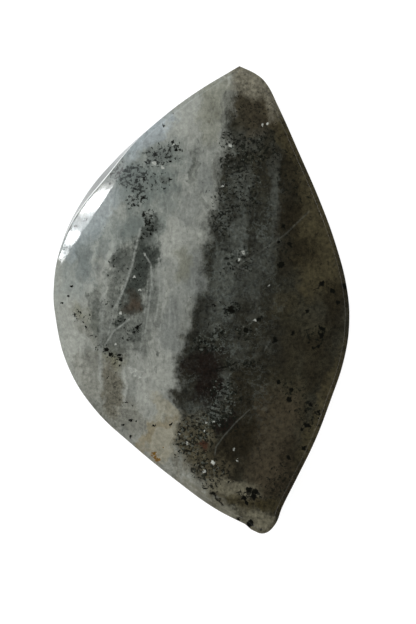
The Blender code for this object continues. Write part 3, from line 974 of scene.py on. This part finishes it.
# %% Veins
PALE_VEINS = (
    (0.2, 0.6, ((-6.2, 7.2), (-6.7, 5.2), (-7.0, 3.6), (-7.6, 1.8), (-8.3, 0.1), (-8.9, -1.0))),
    (0.15, 0.6, ((-5.8, 4.7), (-5.1, 3.6), (-5.0, 1.0))),
    (0.15, 0.6, ((-7.3, -2.0), (-8.9, -3.2), (-9.8, -4.6))),
    (0.14, 0.45, ((-9.0, -1.6), (-9.5, -3.6))),
    (0.16, 0.4, ((-4.3, 4.2), (-4.2, 1.0), (-4.6, -2.0))),
    (0.16, 0.4, ((-4.9, 3.0), (-5.3, -0.5), (-5.8, -4.0))),
    (0.11, 1.0, ((-7.1, -7.1), (-6.6, -7.5), (-6.2, -7.9))),
    (0.1, 1.0, ((-6.9, -7.7), (-6.6, -7.2))),
    (0.08, 0.7, ((-6.3, -7.5), (-5.5, -8.1))),
    (0.12, 0.35, ((-3.6, 3.6), (-3.9, -1.0), (-4.4, -5.0))),
    (0.12, 0.3, ((-5.4, 2.0), (-5.9, -3.0), (-6.4, -6.5))),
    (0.14, 0.3, ((-3.0, 2.2), (-3.3, -3.2))),
    (0.36, 0.42, ((-9.6, 4.6), (-9.9, 1.2), (-10.2, -3.0), (-10.3, -8.0))),
)
DARK_VEINS = (
    (0.13, 0.38, ((4.9, -11.2), (3.5, -12.5), (2.2, -14.0), (1.5, -15.0), (1.4, -15.8))),
    (0.14, 0.28, ((11.0, 9.0), (8.5, 6.6), (6.0, 4.9), (3.6, 3.4))),
    (0.12, 0.4, ((3.6, 3.4), (4.8, 2.9))),
    (0.12, 0.35, ((7.0, -4.2), (6.4, -5.2))),
)
ground = cover(ground, veins(flat_place, PALE_VEINS), (150, 154, 149))
ground = cover(ground, veins(flat_place, DARK_VEINS), (96, 98, 93))
print("veins:", len(PALE_VEINS) + len(DARK_VEINS))

# %% [markdown]
# The single grains that catch the eye are placed one by one, as small round spots, and where they touch,
# as short dark veins. Red and rusty ones lie under the black, and the white ones on top.

# %% Specks
BLACK_SPECKS = (
    (-3.85, 17.7, 0.15), (-2.8, 19.1, 0.08), (-8.8, 13.0, 0.12), (-8.3, 13.0, 0.12), (-7.7, 13.2, 0.13),
    (-6.9, 13.4, 0.17), (-7.3, 12.7, 0.17), (-8.1, 12.3, 0.12), (-6.6, 12.1, 0.16), (-5.8, 12.3, 0.2),
    (-6.8, 11.3, 0.13), (-5.9, 10.4, 0.2), (-6.8, 9.7, 0.14), (-7.3, 10.6, 0.1), (-5.6, 14.05, 0.16),
    (-4.7, 14.8, 0.2), (-2.9, 16.1, 0.12), (-2.5, 15.3, 0.11), (-3.2, 14.1, 0.13), (-3.2, 12.2, 0.15),
    (-5.9, 8.5, 0.14), (-5.5, 8.7, 0.12), (-5.2, 7.9, 0.12), (-5.1, 6.7, 0.12), (-12.9, -1.6, 0.16),
    (-12.4, -1.3, 0.13), (-12.6, -1.9, 0.1), (-11.7, -2.8, 0.14), (-11.2, -3.7, 0.1), (-10.7, -3.7, 0.1),
    (-9.7, -5.1, 0.2), (-9.2, -5.6, 0.21), (-8.3, -5.6, 0.13), (-8.2, -6.1, 0.19), (-8.2, -6.7, 0.09),
    (-6.5, -2.9, 0.15), (-6.2, -2.6, 0.12), (-13.2, 1.4, 0.14), (-13.5, 0.4, 0.11), (-14.2, -0.3, 0.1),
    (-7.6, -10.5, 0.1), (-7.0, -10.8, 0.09), (-7.2, -12.3, 0.12), (-6.7, -12.4, 0.09), (-8.0, -12.8, 0.1),
    (-7.2, -14.0, 0.1), (-4.8, -12.8, 0.14), (-3.05, -12.7, 0.15), (-2.2, -15.4, 0.12), (0.35, -19.25, 0.14),
    (4.9, -19.4, 0.26), (5.5, -19.5, 0.28), (5.3, -20.0, 0.26), (4.4, -20.2, 0.22), (4.6, -20.7, 0.16),
    (3.9, -22.4, 0.22), (5.05, -22.85, 0.32), (6.1, -23.5, 0.1), (3.0, -1.0, 0.3), (1.3, -0.6, 0.15),
    (12.3, 1.6, 0.22), (13.4, 0.9, 0.2), (14.7, 1.4, 0.28), (14.0, -0.3, 0.18), (10.8, -1.1, 0.14),
    (9.3, -3.4, 0.17), (12.3, -2.9, 0.25), (12.2, -3.6, 0.22), (11.0, -4.3, 0.1), (11.5, -4.9, 0.17),
    (12.0, -4.7, 0.14), (7.5, -4.1, 0.22), (4.6, -3.1, 0.17), (5.9, -2.0, 0.24), (8.3, 7.5, 0.2),
    (9.0, 5.6, 0.2), (7.9, 5.9, 0.17), (8.1, 3.5, 0.26), (0.0, -4.3, 0.15), (0.3, -4.9, 0.14),
    (7.9, -8.4, 0.22), (9.1, -9.2, 0.22), (9.0, -10.15, 0.19), (11.2, -10.7, 0.14), (10.7, -11.4, 0.15),
    (12.0, -11.5, 0.19), (10.8, -12.8, 0.24), (10.3, -13.2, 0.17), (10.5, -15.1, 0.2), (8.9, -16.0, 0.17),
    (-11.6, 8.3, 0.13), (-12.4, 7.6, 0.12), (-12.9, 7.3, 0.11), (-13.4, 6.3, 0.12), (-14.3, 4.9, 0.14),
    (-14.6, 4.4, 0.12), (-9.3, 14.0, 0.15), (-9.7, 13.5, 0.12), (-8.9, 14.4, 0.12), (-9.2, 12.0, 0.1),
)
BLACK_ROWS = (
    (0.24, 1.0, ((1.0, -19.8), (1.4, -19.8), (1.5, -20.3), (1.9, -20.5), (2.1, -20.9))),
    (0.15, 0.9, ((1.7, -7.0), (2.6, -6.8), (3.5, -6.45))),
    (0.13, 0.9, ((4.7, -6.85), (5.5, -6.7))),
    (0.12, 0.9, ((11.4, 1.05), (12.0, 1.1), (12.3, 1.7))),
    (0.13, 0.8, ((4.1, -20.3), (5.1, -20.0))),
)
WHITE_SPECKS = (
    (-4.8, 13.9, 0.14), (-3.9, 13.5, 0.11), (-2.8, 15.8, 0.09), (2.2, 11.6, 0.1), (2.9, 15.7, 0.11),
    (6.3, 17.8, 0.09), (6.7, 17.9, 0.1), (4.3, 4.8, 0.09), (3.8, 4.1, 0.09), (6.95, 1.45, 0.1),
    (5.5, -2.1, 0.11), (-8.2, -1.4, 0.13), (-8.7, -4.6, 0.13), (-5.7, 4.5, 0.1), (-6.8, 2.3, 0.09),
    (-6.2, 0.9, 0.1), (-1.4, -14.6, 0.13), (0.4, -13.4, 0.1), (-2.2, -13.7, 0.09), (1.2, -16.6, 0.13),
    (0.3, -17.5, 0.11), (0.5, -12.5, 0.1), (1.2, -12.4, 0.1), (3.3, -15.2, 0.09), (3.7, -16.4, 0.1),
    (-7.3, -7.0, 0.14), (-7.0, -7.4, 0.16), (-6.7, -7.2, 0.11), (-6.7, -7.7, 0.12), (-6.3, -7.9, 0.1),
)
RUST_SPECKS = ((-4.8, -15.7, 0.2), (-4.7, -16.1, 0.12), (-4.4, -16.35, 0.18), (-3.8, -15.1, 0.1))
RED_SPECKS = ((0.2, -14.9, 0.45), (-0.3, -14.9, 0.2))
ground = cover(ground, spots(soft_place, wear, RED_SPECKS, 0.7), (66, 47, 36))
ground = cover(ground, spots(fine_place, wear, RUST_SPECKS), (112, 84, 40))
ground = cover(ground, spots(fine_place, wear, BLACK_SPECKS), (16, 16, 12))
ground = cover(ground, veins(fine_place, BLACK_ROWS), (15, 14, 10))
ground = cover(ground, spots(fine_place, wear, WHITE_SPECKS), (166, 169, 163))
print("specks:", len(BLACK_SPECKS) + len(WHITE_SPECKS) + len(RUST_SPECKS) + len(RED_SPECKS))

# %% [markdown]
# Last comes the grain of the rock itself: a mottling of a few tenths of a millimetre, stronger in the
# dark half, and the upright lamellae. It scales the colour up and down.

# %% Grain
MOTTLE_PALE, MOTTLE_SLAB, MOTTLE_DARK = 1.1, 2.6, 2.9
LAMELLA_DEPTH = 0.7
DEEPEST_SHADE = 0.35
mottle = calculate("SUBTRACT", grain(in_mm, 2.3, 3.0, 0.75), 0.5)
slabs = calculate("MAXIMUM", slab_mask, brown_mask)
rough_slabs = times(slabs, MOTTLE_SLAB / MOTTLE_DARK)
rough_share = calculate("MAXIMUM", dark_half, rough_slabs)
mottle_depth = ramp(rough_share, 0.0, 1.0, MOTTLE_PALE, MOTTLE_DARK)
stripe = times(calculate("SUBTRACT", lamellae, 0.5), LAMELLA_DEPTH)
shade = calculate("ADD", calculate("MULTIPLY_ADD", mottle, mottle_depth, stripe), 1.0)
shade = calculate("MAXIMUM", shade, DEEPEST_SHADE)
shading = lay("CombineColor")
for name in ("Red", "Green", "Blue"):
    feed(shading.inputs[name], shade)
colour = blend_colours(1.0, ground, shading.outputs["Color"], "MULTIPLY")

# %% [markdown]
# Where the facet meets the girdle, the window's reflection in the arris is a painted highlight, one thin
# white line in the colour. Below it the strip of girdle is painted darker grey, a painted shade. Both are
# found by their slope, and kept to the facet by one more patch.

# %% Painted highlight and painted shade at the facet's edge
FACET_PLACE = ((-10.6, 11.4, 5.0, 2.0, 56, 1.0),)
facing = lay("SeparateXYZ")
feed(facing.inputs[0], lay("TexCoord").outputs["Normal"])
by_facet = patches(in_mm, 0.0, FACET_PLACE, 0.9)
painted_girdle_shade = times(ramp(facing.outputs["Z"], 0.79, 0.72), by_facet)
painted_girdle_shade = times(painted_girdle_shade, ramp(facing.outputs["Z"], -0.6, -0.2))
painted_arris_highlight = times(painted_girdle_shade, ramp(facing.outputs["Z"], 0.3, 0.42))
# Painted shade: the strip of girdle below the facet is darkened in the colour.
colour = tint(colour, painted_girdle_shade, 0.75, (72, 80, 80))
# Painted highlight: a near-white line on the arris in place of the window's reflection.
colour = cover(colour, painted_arris_highlight, (250, 252, 253))
feed(shader.inputs["Base Color"], colour)
print("arris painted as a highlight beside the facet")

# %% [markdown]
# The dome and the facet were polished, the girdle only ground, and the back left as sawn. So the
# roughness follows the surface's slope. A bump node lets the grain sink a little and draws the saw's arcs
# on the back, where no geometry is worth its faces.

# %% Polish
GEM_IOR = 1.56
GIRDLE_ROUGHNESS, BACK_ROUGHNESS = 0.2, 0.25
SAW_CENTRE = (70.0, -25.0, 0.0)
SAW_LINES_PER_MM = 2.2
GRAIN_DENT, SAW_DENT = 0.05, 3.0
shader.inputs["IOR"].default_value = GEM_IOR
ground_side = ramp(facing.outputs["Z"], 0.5, 0.35)
sawn_back = ramp(facing.outputs["Z"], -0.7, -0.9)
roughness = ramp(mottle, -0.15, 0.15, 0.03, 0.06)
roughness = calculate("MULTIPLY_ADD", ground_side, GIRDLE_ROUGHNESS, roughness)
roughness = calculate("MULTIPLY_ADD", sawn_back, BACK_ROUGHNESS, roughness)
feed(shader.inputs["Roughness"], roughness)

saw_distance = combine("LENGTH", combine("SUBTRACT", in_mm, SAW_CENTRE))
saw_place = lay("CombineXYZ")
feed(saw_place.inputs["X"], saw_distance)
saw_marks = grain(saw_place.outputs["Vector"], SAW_LINES_PER_MM, 3.0, 0.6)
dents = times(mottle, GRAIN_DENT)
dents = calculate("MULTIPLY_ADD", times(saw_marks, sawn_back), SAW_DENT, dents)
bump = lay("Bump")
bump.inputs["Distance"].default_value = 0.02 * MM
bump.inputs["Strength"].default_value = 1.0
feed(bump.inputs["Height"], dents)
feed(shader.inputs["Normal"], bump.outputs["Normal"])
stone.data.materials.clear()
stone.data.materials.append(stone_material)
print("the stone's material has", len(sheet.nodes), "nodes")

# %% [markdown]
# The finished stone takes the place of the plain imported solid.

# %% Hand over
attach(stone, "root")
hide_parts(STONE_NODE)
